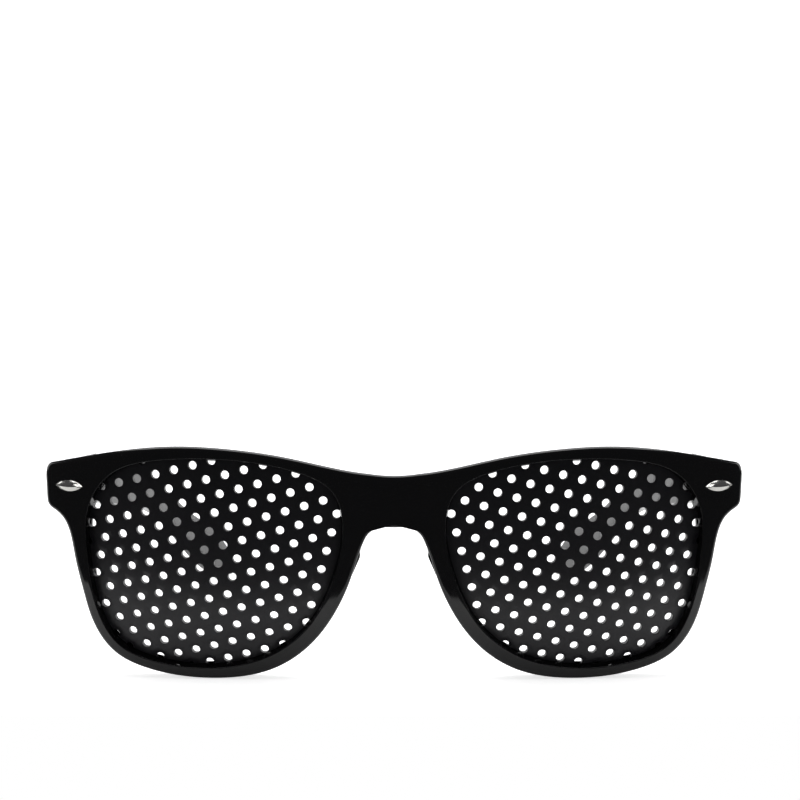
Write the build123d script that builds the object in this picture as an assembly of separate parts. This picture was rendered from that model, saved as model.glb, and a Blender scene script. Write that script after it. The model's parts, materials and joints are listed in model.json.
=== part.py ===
from build123d import *
from math import asin, atan2, cos, degrees, radians, sin, sqrt
import os

# Pinhole glasses: a moulded front with two domed, pierced lenses and two folding temples.
# Millimetres. +X is the wearer's left, +Y runs back along the temples and +Z is up.
# The glasses stand open, on the lowest points of the rims and on the temple tips.
# The front is drawn upright about the lens centre line, then tipped onto the temples' frame.

# Front, seen from ahead
lens_width = 53.3          # opening, measured at the front face
lens_height = 44.8
bridge_gap = 21.4          # between the two openings
rim_width = 2.6            # narrowest face of the rim, at top, bottom and outer side
bridge_top = 18.2          # top of the bridge above the lens centre line
bridge_height = 10.7       # top of the bridge down to the nose arch

# Front, seen from above
lens_radius = 114.3        # outer surface of each lens is a dome
crown_inset = 3.65         # each dome's crown lies this much nearer the nose than the lens centre
rim_depth = 4.5
lens_recess = 2.0          # rim's face stands this far proud of the lens
bridge_flat = 5.4          # half width of the flat facet on the bridge
crease_radius = 5.0        # softens the crease between facet and dome
blank_margin = 2.0
edge_cut = 0.45            # bevel of the face's outer edges
back_edge_cut = 0.35
opening_flare = 0.35       # the opening widens by this much towards the face

# Lenses
lens_thickness = 1.6
groove_depth = 0.84
lens_clearance = 0.06
cells_across = 5           # each dome is kept to this many flat cells by the next number
cells_up = 4
hole_diameter = 1.8
hole_pitch = 4.02
hole_angle = 14.3          # degrees, slope of the pattern's rows
hole_sides = 6             # each round hole is kept to a few flat sides
hole_show = 0.15           # a hole at the rim is there when this much of it shows
pattern_shift_x = -0.11    # a hole's centre from the lens centre, towards the nose
pattern_shift_z = -3.37

# Nose pads, moulded on the back of the rims
pad_length = 12.0
pad_width = 3.0
pad_reach = 3.3
pad_proud = 0.8
pad_edge_cut = 0.8

# End pieces and rivet shields
endpiece_depth = 8.8       # face to butt joint, at the shield
endpiece_root = 5.0        # length of the sloped inner face
endpiece_inset = 0.4       # inner side of the end piece from the opening's widest point
shield_inset = 5.3         # shield's centre from the outer side
shield_level = 15.97       # shield's centre above the lens centre line
shield_length = 6.5
shield_height = 2.3
shield_thickness = 0.6
shield_flat_length = 5.2
shield_flat_height = 0.45
shield_seat = 0.3          # how deep the shield sits in the end piece
endpiece_drop = 4.9        # shield's centre down to the end piece's floor
post_radius = 0.6
post_spacing = 3.0
fit_clearance = 0.05       # pins, posts, leaves and knuckles in their seats

# Hinges
hinge_radius = 1.6
hinge_gap = 0.3            # running gap round the barrel
knuckle_height = 2.0
knuckle_gap = 0.1
leaf_thickness = 1.0
front_leaf_length = 5.4
temple_leaf_length = 9.0
screw_radius = 0.7
screw_head_radius = 1.15
screw_head_height = 0.6
screw_slot = 0.3
pin_radius = 0.5
pin_depth = 2.0
pin_head_radius = 0.85
pin_head_height = 0.25

# Temples
temple_length = 146.5      # hinge axis to tip
temple_root_height = 8.8
temple_waist_height = 7.4
temple_tip_height = 12.6
temple_thickness = 4.2
temple_tip_thickness = 3.2
temple_inset = 0.5         # outer face from the end piece's outer side
butt_gap = 0.3
tip_splay = 16.6           # how far each tip bows in
ear_bend_start = 62.0      # hinge axis to the start of the bend
ear_bend_radius = 60.0
ear_drop = 16.3            # degrees
front_tilt = 17.0          # degrees between the front and a square to the temples
temple_edge_cut = 0.45

settle_rounds = 4
overrun = 1.0

# Sizes that follow
half_opening = lens_width/2
half_height = lens_height/2
lens_x = bridge_gap/2 + half_opening
rim_reach = half_opening + rim_width
rim_rise = half_height + rim_width
dome_x = lens_x - crown_inset
face_radius = lens_radius + lens_recess
back_radius = face_radius - rim_depth
hole_radius = hole_diameter/2

# Outlines as shares of the half width and half height that they follow, from the lens centre.
# Positive is outward and up.
opening_shares = [(-1.0, 0.42), (-0.936, 0.66), (-0.62, 0.885), (-0.04, 0.996), (0.42, 0.978),
                  (0.79, 0.839), (0.978, 0.52), (0.997, 0.1), (0.936, -0.43), (0.77, -0.80),
                  (0.45, -0.96), (0.0, -0.998), (-0.42, -0.875), (-0.72, -0.60), (-0.93, -0.12)]
top_shares = [(-0.925, 0.784), (-0.508, 0.904), (-0.091, 0.976), (0.227, 0.992), (0.617, 0.952),
              (1.171, 0.820)]
side_shares = [(1.215, 0.772), (1.2175, 0.62), (1.212, 0.505)]
rim_shares = [(1.174, 0.44), (1.096, 0.376), (1.039, 0.244), (1.007, 0.04), (0.959, -0.236),
              (0.897, -0.52), (0.740, -0.80), (0.501, -0.932), (0.022, -1.0), (-0.416, -0.910),
              (-0.676, -0.702), (-0.856, -0.420), (-0.966, -0.138), (-1.068, 0.200)]
pin_shares = [0.42, 0.82]      # places of the temple's pins along its leaf
station_shares = [0.0, 0.22, 0.41, 0.55, 0.69, 0.84]   # of the temple's length, where it is measured
root_fade_share = 0.6          # of the root's extra height left at the third station
mid_swell_share = 0.4          # of the tip's extra height reached at the fifth station
top_slope = 0.22               # fall per unit of width where the top edge meets the outer corner
side_slope = 0.12              # inward run per unit of height at the outer side's foot
arch_slope = 0.47              # inward run per unit of height where the nose side meets the arch
arch_corner_share = 0.36       # of the nose arch's half width at the corner's foot
arch_corner_drop_share = 0.06  # of the bridge's height
pad_shares = [(-1.026, 0.10), (-0.864, -0.34)]   # the pad's ends, on the nose side's edge

on_base = (Align.CENTER, Align.CENTER, Align.MIN)


def rim_point(share):
    """A point of the front's outline, on the wearer's left."""
    return Vector(lens_x + share[0]*rim_reach, 0, share[1]*rim_rise)


def rounded_opening(grow, depth):
    """The lens outline, grown on every side, as a closed curve at a depth behind the lens crown."""
    reach = half_opening + grow
    rise = half_height + grow
    points = [Vector(lens_x + sx*reach, depth, sz*rise) for sx, sz in opening_shares]
    return Wire([Spline(points, periodic=True)])


def opening_prism(grow, near, far):
    """A straight block with the lens outline."""
    return extrude(make_face(rounded_opening(grow, near)), far - near, dir=(0, 1, 0))


def front_outline():
    """Half of the front's outline, from the top of the bridge round to the nose arch."""
    even = [1, 1]
    top_points = [Vector(0, 0, bridge_top)] + [rim_point(s) for s in top_shares]
    top = Spline(top_points, tangents=[(1, 0, 0), (1, 0, -top_slope)], tangent_scalars=even)
    side_points = [rim_point(s) for s in side_shares]
    corner = TangentArc(top @ 1, side_points[0], tangent=top % 1)
    side = Spline(side_points, tangents=[corner % 1, (-side_slope, 0, -1)], tangent_scalars=even)
    rim_points = [rim_point(s) for s in rim_shares]
    foot = TangentArc(side @ 1, rim_points[0], tangent=side % 1)
    rim = Spline(rim_points, tangents=[foot % 1, (-arch_slope, 0, 1)], tangent_scalars=even)
    arch_height = bridge_top - bridge_height
    arch_x = (rim @ 1).X*(1 - arch_corner_share)
    arch_z = arch_height - arch_corner_drop_share*bridge_height/2
    arch_corner = TangentArc(rim @ 1, (arch_x, 0, arch_z), tangent=rim % 1)
    arch = Spline([arch_corner @ 1, (0, 0, arch_height)],
                  tangents=[arch_corner % 1, (-1, 0, 0)], tangent_scalars=even)
    return [top, corner, side, foot, rim, arch_corner, arch]


def surface_depth(x, z, radius):
    """Depth of a dome's surface at a point seen from ahead."""
    return lens_radius - sqrt(radius**2 - (x - dome_x)**2 - z**2)


def front_blank():
    """Half of the curved sheet that the front is cut from: a plan section swept up and down."""
    reach = lens_x + rim_reach*side_shares[1][0] + blank_margin
    near = surface_depth(bridge_flat, 0, face_radius)
    far = surface_depth(bridge_flat, 0, back_radius)
    face_arc = ThreePointArc((bridge_flat, near), (lens_x, surface_depth(lens_x, 0, face_radius)),
                             (reach, surface_depth(reach, 0, face_radius)))
    back_arc = ThreePointArc((reach, surface_depth(reach, 0, back_radius)),
                             (lens_x, surface_depth(lens_x, 0, back_radius)), (bridge_flat, far))
    half = [Line((0, near), (bridge_flat, near)), face_arc,
            Line(face_arc @ 1, back_arc @ 0), back_arc, Line((bridge_flat, far), (0, far)),
            Line((0, far), (0, near))]
    plan = make_face(Wire(half))
    creases = [v for v in plan.vertices() if abs(v.X - bridge_flat) < bridge_flat/2]
    plan = fillet(creases, crease_radius)
    axis = Axis((0, lens_radius, 0), (1, 0, 0))
    half_sweep = degrees(asin((rim_rise + blank_margin)/back_radius))
    return revolve(plan.rotate(axis, -half_sweep), axis, 2*half_sweep)


def front_prism():
    """Half of the front's outline as a straight block, from ahead of the face to behind the pieces."""
    half = front_outline()
    face = make_face(Wire(half + [Line(half[-1] @ 1, half[0] @ 0)]))
    near = -2*lens_recess - overrun
    return extrude(Pos(0, near, 0)*face, butt_level + rim_rise - near, dir=(0, 1, 0))


def to_temples(shape):
    """Tip a piece drawn in the front's frame onto the temples' frame."""
    return Rot(front_tilt, 0, 0)*shape


def to_front(shape):
    """The reverse of to_temples."""
    return Rot(-front_tilt, 0, 0)*shape


def block(x, y, z):
    """A box between two values on each axis."""
    low, high = zip(x, y, z)
    size = [b - a for a, b in zip(low, high)]
    return Pos(*low)*Box(*size, align=Align.MIN)


def rod_back(radius, x, z, near, far):
    """A round rod that runs straight back."""
    return Pos(x, near, z)*Rot(-90, 0, 0)*Cylinder(radius, far - near, align=on_base)


def upright(radius, low, high):
    """A round rod on the hinge's axis."""
    return Pos(hinge_x, hinge_y, low)*Cylinder(radius, high - low, align=on_base)


# Where the end piece stops, and where the hinge stands behind it, in the temples' frame
shield_x = lens_x + rim_reach*side_shares[1][0] - shield_inset
shield_y = surface_depth(shield_x, shield_level, face_radius)
tilt = radians(front_tilt)
butt_level = (shield_y + endpiece_depth)*cos(tilt) - shield_level*sin(tilt)
hinge_y = butt_level + hinge_radius + hinge_gap
hinge_z = (shield_y + endpiece_depth)*sin(tilt) + shield_level*cos(tilt)
temple_outer = lens_x + rim_reach*side_shares[1][0] - temple_inset
temple_inner = temple_outer - temple_thickness
hinge_x = temple_inner - hinge_radius - hinge_gap
endpiece_inner = lens_x + half_opening + endpiece_inset
leaf_height = 3*knuckle_height + 2*knuckle_gap
leaf_low = hinge_z - leaf_height/2
leaf_high = hinge_z + leaf_height/2
middle_low = hinge_z - knuckle_height/2
middle_high = hinge_z + knuckle_height/2
post_places = [shield_x - post_spacing/2, shield_x + post_spacing/2]
pin_places = [hinge_y + temple_leaf_length*share for share in pin_shares]


def end_piece(prism):
    """The block behind the rim's outer top corner, with a sloped inner face and a square rear."""
    rim_middle = surface_depth(endpiece_inner, shield_level, (face_radius + back_radius)/2)
    far = butt_level + rim_rise
    outer = temple_outer + temple_inset + blank_margin
    plan = Polyline((endpiece_inner - endpiece_root, rim_middle),
                    (endpiece_inner, rim_middle + endpiece_root),
                    (endpiece_inner, far), (outer, far),
                    (outer, surface_depth(outer, 0, (face_radius + back_radius)/2)), close=True)
    floor = shield_level - endpiece_drop
    body = extrude(Pos(0, 0, floor)*make_face(plan), rim_rise - floor + blank_margin, dir=(0, 0, 1))
    behind = block((0, outer + blank_margin), (butt_level, 2*far), (-rim_rise, 2*rim_rise))
    return (body & prism) - to_front(behind)


def nose_pad():
    """A rounded bar behind the rim's nose side, a little proud of the rim's edge."""
    top, bottom = [rim_point(share) for share in pad_shares]
    run = (bottom - top).normalized()
    inward = Vector(-run.Z, 0, run.X)
    if inward.X < 0:
        inward = -inward
    shift = inward*(pad_width/2 - pad_proud)
    middle = (top + bottom)/2 + shift
    near = surface_depth(middle.X, middle.Z, (face_radius + back_radius)/2)
    far = surface_depth(middle.X, middle.Z, back_radius) + pad_reach
    plane = Plane(origin=(middle.X, near, middle.Z), x_dir=run, z_dir=(0, 1, 0))
    bar = extrude(plane*SlotOverall(pad_length, pad_width), far - near)
    return chamfer(bar.edges().group_by(Axis.Y)[-1], pad_edge_cut)


def flat_face(points):
    """A flat face with straight edges between points."""
    return make_face(Polyline(*points, close=True)).face()


def dome_block(shift):
    """The space behind a lens's dome, moved back by shift. The dome is kept to flat cells."""
    reach = half_opening + blank_margin
    rise = half_height + blank_margin
    wide = 2*reach/cells_across
    high = 2*rise/cells_up
    level = shift - (wide**2 + high**2)/lens_radius/16     # half of what the cells cut off the dome
    rows = []
    for j in range(cells_up + 1):
        z = j*high - rise
        fall = surface_depth(dome_x, z, lens_radius) + level
        across = [lens_x - reach + i*wide for i in range(cells_across + 1)]
        rows.append([Vector(x, surface_depth(x, 0, lens_radius) + fall, z) for x in across])
    faces = []
    for lower, upper in zip(rows, rows[1:]):
        for i in range(cells_across):
            faces.append(flat_face([lower[i], lower[i + 1], upper[i + 1], upper[i]]))
    corners = [rows[0][0], rows[0][-1], rows[-1][-1], rows[-1][0]]
    back = [Vector(corner.X, lens_radius/4, corner.Z) for corner in corners]
    faces.append(flat_face(back))
    faces.append(flat_face(rows[0] + [back[1], back[0]]))
    faces.append(flat_face(rows[-1] + [back[2], back[3]]))
    faces.append(flat_face([row[0] for row in rows] + [back[3], back[0]]))
    faces.append(flat_face([row[-1] for row in rows] + [back[2], back[1]]))
    return Solid(Shell(faces))


def lens_blank(grow, spare):
    """A domed disc with the lens outline; spare widens it on both surfaces."""
    slab = opening_prism(grow, -lens_recess, lens_radius/5)
    return (slab & dome_block(-spare)) - dome_block(lens_thickness + spare)


def hole_places():
    """Centres of the lens holes, in rows sixty degrees apart. The rim hides part of the outer ones."""
    edge = rounded_opening(-opening_flare, 0)
    inside = make_face(edge)
    along = (hole_pitch*cos(radians(hole_angle)), hole_pitch*sin(radians(hole_angle)))
    across = (hole_pitch*cos(radians(hole_angle - 60)), hole_pitch*sin(radians(hole_angle - 60)))
    count = int(2*rim_reach/hole_pitch)
    places = []
    for i in range(-count, count + 1):
        for j in range(-count, count + 1):
            x = lens_x - pattern_shift_x - i*along[0] - j*across[0]
            z = pattern_shift_z + i*along[1] + j*across[1]
            spot = Vector(x, 0, z)
            if abs(x - lens_x) < rim_reach and abs(z) < rim_rise:
                if inside.is_inside(spot) or edge.distance_to(spot) < hole_radius - hole_show:
                    places.append((x, z))
    return places


def lens():
    """A domed lens with its lattice of holes, in the front's frame."""
    body = lens_blank(groove_depth - opening_flare, 0)
    prism = extrude(Plane.XZ*RegularPolygon(hole_radius, hole_sides, major_radius=False),
                    2*lens_recess + lens_radius/4, both=True)
    return body - [Pos(x, 0, z)*prism for x, z in hole_places()]


def almond(length, height, plane):
    """A pointed oval on a plane."""
    arcs = [ThreePointArc((-length/2, 0), (0, height/2), (length/2, 0)),
            ThreePointArc((length/2, 0), (0, -height/2), (-length/2, 0))]
    return plane*make_face(Wire(arcs))


def shield_plane(shift):
    """The plane that touches the face under the shield, moved outward."""
    spot = Vector(shield_x, shield_y, shield_level)
    out = (spot - Vector(dome_x, lens_radius, 0)).normalized()
    return Plane(origin=spot + out*shift, x_dir=(-out.Y, out.X, 0), z_dir=out)


def rivet_shield():
    """The bevelled plate on the end piece, with two posts that reach through the front leaf."""
    foot = extrude(almond(shield_length, shield_height, shield_plane(-shield_seat)), shield_seat)
    crown = loft([almond(shield_length, shield_height, shield_plane(0)),
                  almond(shield_flat_length, shield_flat_height, shield_plane(shield_thickness))])
    body = foot + crown
    far = butt_level + rim_rise
    for x in post_places:
        near = surface_depth(x, shield_level, face_radius)
        body = body + rod_back(post_radius, x, shield_level, near, far)
    outer = temple_outer + rim_reach
    behind = block((0, outer), (butt_level, 3*far), (-rim_rise, 3*rim_rise))
    return to_temples(body) - behind


def lies_ahead(edge):
    """True for an edge on the front's face, false for one on its back."""
    spot = edge @ 0.5
    return spot.Y < surface_depth(spot.X, spot.Z, (face_radius + back_radius)/2)


def rim_sheet(prism):
    """The curved sheet cut to the outline, with bevelled edges and a flared opening."""
    body = front_blank() & prism
    outline = body.edges().filter_by(GeomType.BSPLINE)
    body = chamfer([e for e in outline if lies_ahead(e)], edge_cut)
    outline = body.edges().filter_by(GeomType.BSPLINE).filter_by(lambda e: not lies_ahead(e))
    body = chamfer(outline, back_edge_cut)
    body = body - opening_prism(-opening_flare, -2*lens_recess, lens_radius/4)
    wall = max(body.faces().filter_by(GeomType.EXTRUSION), key=lambda f: f.area)
    rim = [e for e in wall.edges() if e.length > lens_width + lens_height and lies_ahead(e)]
    return chamfer(rim, lens_recess, opening_flare, reference=wall)


def front_frame():
    """Half of the moulded front, in the front's frame."""
    prism = front_prism()
    body = rim_sheet(prism)
    body = body + end_piece(prism)
    body = body + nose_pad()
    body = body - opening_prism(-opening_flare, surface_depth(lens_x, 0, lens_radius), lens_radius/4)
    spare = groove_depth - opening_flare + lens_clearance
    body = body - lens_blank(spare, lens_clearance)
    seat = almond(shield_length + 2*fit_clearance, shield_height + 2*fit_clearance,
                  shield_plane(-shield_seat))
    body = body - extrude(seat, shield_seat + shield_thickness)
    for x in post_places:
        body = body - rod_back(post_radius + fit_clearance, x, shield_level,
                               shield_y - lens_recess, butt_level + rim_rise)
    pocket = block((endpiece_inner - overrun, hinge_x + front_leaf_length + fit_clearance),
                   (butt_level - leaf_thickness - fit_clearance, butt_level + overrun),
                   (leaf_low - fit_clearance, leaf_high + fit_clearance))
    return body - to_front(pocket)


def front_hinge():
    """The front leaf with its upper and lower knuckles, in the temples' frame."""
    body = block((hinge_x - hinge_radius, hinge_x + front_leaf_length),
                 (butt_level - leaf_thickness, butt_level), (leaf_low, leaf_high))
    for low, high in [(leaf_low, middle_low - knuckle_gap), (middle_high + knuckle_gap, leaf_high)]:
        body = body + upright(hinge_radius, low, high)
        body = body + block((hinge_x - hinge_radius, hinge_x + hinge_radius),
                            (butt_level - leaf_thickness, hinge_y), (low, high))
    body = body - upright(screw_radius + fit_clearance, leaf_low - overrun, leaf_high + overrun)
    for x in post_places:
        body = body - to_temples(rod_back(post_radius + fit_clearance, x, shield_level,
                                          shield_y, butt_level + rim_rise))
    return body


def temple_hinge():
    """The temple leaf with the middle knuckle, in the temples' frame."""
    body = block((temple_inner, temple_inner + leaf_thickness),
                 (butt_level + butt_gap, hinge_y + temple_leaf_length), (leaf_low, leaf_high))
    body = body + upright(hinge_radius, middle_low, middle_high)
    body = body + block((hinge_x, temple_inner + leaf_thickness),
                        (hinge_y, hinge_y + hinge_radius), (middle_low, middle_high))
    body = body - upright(screw_radius + fit_clearance, leaf_low - overrun, leaf_high + overrun)
    for y in pin_places:
        body = body - pin_bore(y, pin_radius + fit_clearance)
    return body


def pin_bore(y, radius):
    """A rod across the temple, from inside its inner face to the bottom of the pin's hole."""
    length = leaf_thickness + pin_depth + pin_head_height
    return Pos(temple_inner - pin_head_height, y, hinge_z)*Rot(0, 90, 0)*Cylinder(
        radius, length, align=on_base)


def temple_pin(y):
    """A pin with a low round head that holds the leaf in the temple."""
    head = Cylinder(pin_head_radius, pin_head_height, align=on_base)
    return pin_bore(y, pin_radius) + Pos(temple_inner - pin_head_height, y, hinge_z)*Rot(0, 90, 0)*head


def hinge_screw():
    """The slotted screw that both leaves turn on."""
    head = Cylinder(screw_head_radius, screw_head_height, align=on_base)
    head = chamfer(head.edges().group_by(Axis.Z)[-1], screw_head_height/4)
    slot = Pos(0, 0, screw_head_height)*Box(2*screw_head_radius, screw_slot, 2*screw_slot)
    return upright(screw_radius, leaf_low, leaf_high) + Pos(hinge_x, hinge_y, leaf_high)*(head - slot)


def temple_line(share):
    """A point and a direction on the temple's centre line, seen from the side."""
    along = share*temple_length
    drop = radians(ear_drop)
    turn = min(max((along - ear_bend_start)/ear_bend_radius, 0), drop)
    y = min(along, ear_bend_start) + ear_bend_radius*sin(turn)
    z = -ear_bend_radius*(1 - cos(turn))
    rest = max(along - ear_bend_start - ear_bend_radius*drop, 0)
    spot = Vector(0, hinge_y + y + rest*cos(turn), hinge_z + z - rest*sin(turn))
    return spot, Vector(0, cos(turn), -sin(turn))


def temple_side():
    """The temple's outline from the side: two long edges and a rounded tip."""
    fade = root_fade_share*(temple_root_height - temple_waist_height)
    swell = mid_swell_share*(temple_tip_height - temple_waist_height)
    heights = [temple_root_height, temple_root_height, temple_waist_height + fade,
               temple_waist_height, temple_waist_height + swell, temple_tip_height]
    upper = []
    lower = []
    for share, height in zip(station_shares, heights):
        spot, run = temple_line(share)
        up = Vector(0, -run.Z, run.Y)
        upper.append(spot + up*height/2)
        lower.append(spot - up*height/2)
    start = butt_level + butt_gap
    upper[0] = Vector(0, start, hinge_z + temple_root_height/2)
    lower[0] = Vector(0, start, hinge_z - temple_root_height/2)
    tip, run = temple_line(1)
    even = [1, 1]
    top = Spline(upper, tangents=[(0, 1, 0), run], tangent_scalars=even)
    bottom = Spline(lower, tangents=[(0, 1, 0), run], tangent_scalars=even)
    cap = Spline([top @ 1, tip, bottom @ 1], tangents=[run, -run], tangent_scalars=even)
    back = Line(bottom @ 0, top @ 0)
    return make_face(Wire([top, cap, bottom, back]))


def temple_plan():
    """The temple from above: straight at the root, then bowed in and thinned towards the tip."""
    start = butt_level + butt_gap
    straight = hinge_y + temple_leaf_length + pin_depth
    end = hinge_y + temple_length
    outer = Line((temple_outer, start), (temple_outer, straight))
    outer_bow = TangentArc((temple_outer, straight), (temple_outer - tip_splay, end), tangent=(0, 1))
    inner_end = temple_outer - tip_splay - temple_tip_thickness
    inner_bow = TangentArc((temple_inner, straight), (inner_end, end), tangent=(0, 1))
    inner = Line((temple_inner, straight), (temple_inner, start))
    edges = [outer, outer_bow, Line(outer_bow @ 1, inner_bow @ 1), inner_bow, inner,
             Line((temple_inner, start), (temple_outer, start))]
    return make_face(Wire(edges))


def temple():
    """The moulded temple, in the temples' frame."""
    reach = temple_outer + blank_margin
    side = extrude(temple_side(), reach, dir=(1, 0, 0))
    low = hinge_z - temple_length
    plan = extrude(Pos(0, 0, low)*temple_plan(), 2*temple_length, dir=(0, 0, 1))
    body = side & plan
    start = butt_level + butt_gap
    body = chamfer(body.edges().filter_by(GeomType.BSPLINE), temple_edge_cut)
    pocket = block((temple_inner - overrun, temple_inner + leaf_thickness + fit_clearance),
                   (start - overrun, hinge_y + temple_leaf_length + fit_clearance),
                   (leaf_low - fit_clearance, leaf_high + fit_clearance))
    body = body - pocket
    for y in pin_places:
        body = body - pin_bore(y, pin_radius + fit_clearance)
    return body


if __name__ == "__main__":
    os.makedirs("parts", exist_ok=True)
    half = front_frame()
    pieces = {"front_frame": to_temples(half + half.mirror(Plane.YZ))}
    sided = {
        "lens": to_temples(lens()),
        "rivet_shield": rivet_shield(),
        "front_hinge": front_hinge(),
        "hinge_screw": hinge_screw(),
        "temple_hinge": temple_hinge(),
        "temple": temple(),
        "temple_pin_front": temple_pin(pin_places[0]),
        "temple_pin_rear": temple_pin(pin_places[1]),
    }
    for name, shape in sided.items():
        pieces[name + "_left"] = shape
        pieces[name + "_right"] = shape.mirror(Plane.YZ)

    # The glasses rest on the rims' lowest points and the temple tips.
    rest = front_tilt/2
    for _ in range(settle_rounds):
        lean = Rot(-rest, 0, 0)
        rim_low = (lean*pieces["front_frame"]).bounding_box().min.Z
        tip_low = (lean*pieces["temple_left"]).bounding_box().min.Z
        rest = rest + degrees(atan2(tip_low - rim_low, temple_length))
    lean = Rot(-rest, 0, 0)
    box = Compound([lean*pieces[name] for name in ("front_frame", "temple_left", "temple_right")]
                   ).bounding_box()
    place = Pos(0, -(box.min.Y + box.max.Y)/2, -box.min.Z)*lean
    for name, shape in pieces.items():
        export_step(place*shape, "parts/" + name + ".step")
    hinge = place*Pos(hinge_x, hinge_y, hinge_z)
    print("rest angle", rest, "hinge", hinge.position, "size", box.size)
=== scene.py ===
# %% [markdown]
# Pinhole glasses
#
# The real object is a pair of glasses with no glass in it: two domed black lenses are pierced by a
# lattice of small holes, and a gloss black moulded front and two folding temples carry them.
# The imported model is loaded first. It fixes where everything is, and each piece that is modelled
# here stands in for one of its solids or dresses it.

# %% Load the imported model
import json
import bmesh
import bpy
import numpy as np
from math import atan2, cos, degrees, hypot, pi, radians, sin, sqrt, tan
from mathutils import Matrix, Vector


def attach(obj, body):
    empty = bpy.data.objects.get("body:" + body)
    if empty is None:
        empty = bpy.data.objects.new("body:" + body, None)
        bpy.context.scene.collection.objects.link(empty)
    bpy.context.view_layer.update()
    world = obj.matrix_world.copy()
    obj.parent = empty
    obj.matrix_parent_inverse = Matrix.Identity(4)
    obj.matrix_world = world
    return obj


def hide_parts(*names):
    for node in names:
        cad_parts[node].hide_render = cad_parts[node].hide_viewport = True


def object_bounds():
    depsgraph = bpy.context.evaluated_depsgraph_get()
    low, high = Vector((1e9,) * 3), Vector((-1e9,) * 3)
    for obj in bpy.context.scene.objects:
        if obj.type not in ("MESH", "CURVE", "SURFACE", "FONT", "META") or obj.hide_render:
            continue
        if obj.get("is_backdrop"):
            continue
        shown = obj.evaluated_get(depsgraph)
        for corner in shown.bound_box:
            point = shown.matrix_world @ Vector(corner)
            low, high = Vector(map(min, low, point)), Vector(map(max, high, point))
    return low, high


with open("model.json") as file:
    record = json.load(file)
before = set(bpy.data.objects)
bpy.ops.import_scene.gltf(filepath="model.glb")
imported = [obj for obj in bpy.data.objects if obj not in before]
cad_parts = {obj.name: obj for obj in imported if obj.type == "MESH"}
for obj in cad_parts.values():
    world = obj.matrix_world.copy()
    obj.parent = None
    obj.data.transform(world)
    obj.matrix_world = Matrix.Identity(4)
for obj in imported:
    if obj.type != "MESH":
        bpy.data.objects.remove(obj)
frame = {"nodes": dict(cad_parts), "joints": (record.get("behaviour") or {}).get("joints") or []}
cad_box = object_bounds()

mm = 0.001
nodes = frame["nodes"]
print("CAD nodes:", len(nodes),
      "box in mm:", [[round(v/mm, 1) for v in corner] for corner in cad_box])

# %% [markdown]
# The sizes are those of the solids. The front is drawn upright, seen from ahead: X runs to the
# wearer's left, Z up from the middle of the lenses, and Y back from the lens crown. Drawing it
# upright keeps the outlines simple, and one matrix leans it into place at the end.

# %% Sizes of the front
lens_width, lens_height = 53.3*mm, 44.8*mm
bridge_gap, rim_width = 21.4*mm, 2.6*mm
bridge_top, bridge_height = 18.2*mm, 10.7*mm
lens_radius, crown_inset = 114.3*mm, 3.65*mm
rim_depth, lens_recess = 4.5*mm, 2.0*mm
bridge_flat, crease_radius = 5.4*mm, 5.0*mm
opening_flare = 0.35*mm
lens_thickness, groove_depth, lens_clearance = 1.6*mm, 0.84*mm, 0.06*mm
half_opening, half_height = lens_width/2, lens_height/2
lens_x = bridge_gap/2 + half_opening
rim_reach, rim_rise = half_opening + rim_width, half_height + rim_width
dome_x = lens_x - crown_inset
face_radius = lens_radius + lens_recess
back_radius = face_radius - rim_depth

# Outline points as shares of the half width and half height, outward and up from the lens centre
opening_shares = [(-1.0, 0.42), (-0.936, 0.66), (-0.62, 0.885), (-0.04, 0.996), (0.42, 0.978),
                  (0.79, 0.839), (0.978, 0.52), (0.997, 0.1), (0.936, -0.43), (0.77, -0.80),
                  (0.45, -0.96), (0.0, -0.998), (-0.42, -0.875), (-0.72, -0.60), (-0.93, -0.12)]
top_shares = [(-0.925, 0.784), (-0.508, 0.904), (-0.091, 0.976), (0.227, 0.992), (0.617, 0.952),
              (1.171, 0.820)]
side_shares = [(1.215, 0.772), (1.2175, 0.62), (1.212, 0.505)]
rim_shares = [(1.174, 0.44), (1.096, 0.376), (1.039, 0.244), (1.007, 0.04), (0.959, -0.236),
              (0.897, -0.52), (0.740, -0.80), (0.501, -0.932), (0.022, -1.0), (-0.416, -0.910),
              (-0.676, -0.702), (-0.856, -0.420), (-0.966, -0.138), (-1.068, 0.200)]
print("rim outline points:", len(top_shares) + len(side_shares) + len(rim_shares))

# %% [markdown]
# The temples are drawn on axes of their own, with Y along them. Against these the top of the front
# leans forward by front_tilt. An end piece behind each outer corner of the front ends in a flat
# butt, square to the temple, and the hinge's place follows from that butt.

# %% Sizes of the end pieces, hinges and temples
front_tilt = 17.0
shield_inset, shield_level, endpiece_depth = 5.3*mm, 15.97*mm, 8.8*mm
endpiece_root, endpiece_inset, endpiece_drop = 5.0*mm, 0.4*mm, 4.9*mm
hinge_radius, hinge_gap, butt_gap = 1.6*mm, 0.3*mm, 0.3*mm
leaf_height, leaf_thickness = 6.2*mm, 1.0*mm
front_leaf_length, temple_leaf_length = 5.4*mm, 9.0*mm
temple_length, temple_inset = 146.5*mm, 0.5*mm
temple_thickness, temple_tip_thickness = 4.2*mm, 3.2*mm
temple_root_height, temple_waist_height, temple_tip_height = 8.8*mm, 7.4*mm, 12.6*mm
tip_splay, ear_bend_start, ear_bend_radius, ear_drop = 16.6*mm, 62.0*mm, 60.0*mm, 16.3
seat_gap = 0.05*mm

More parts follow.
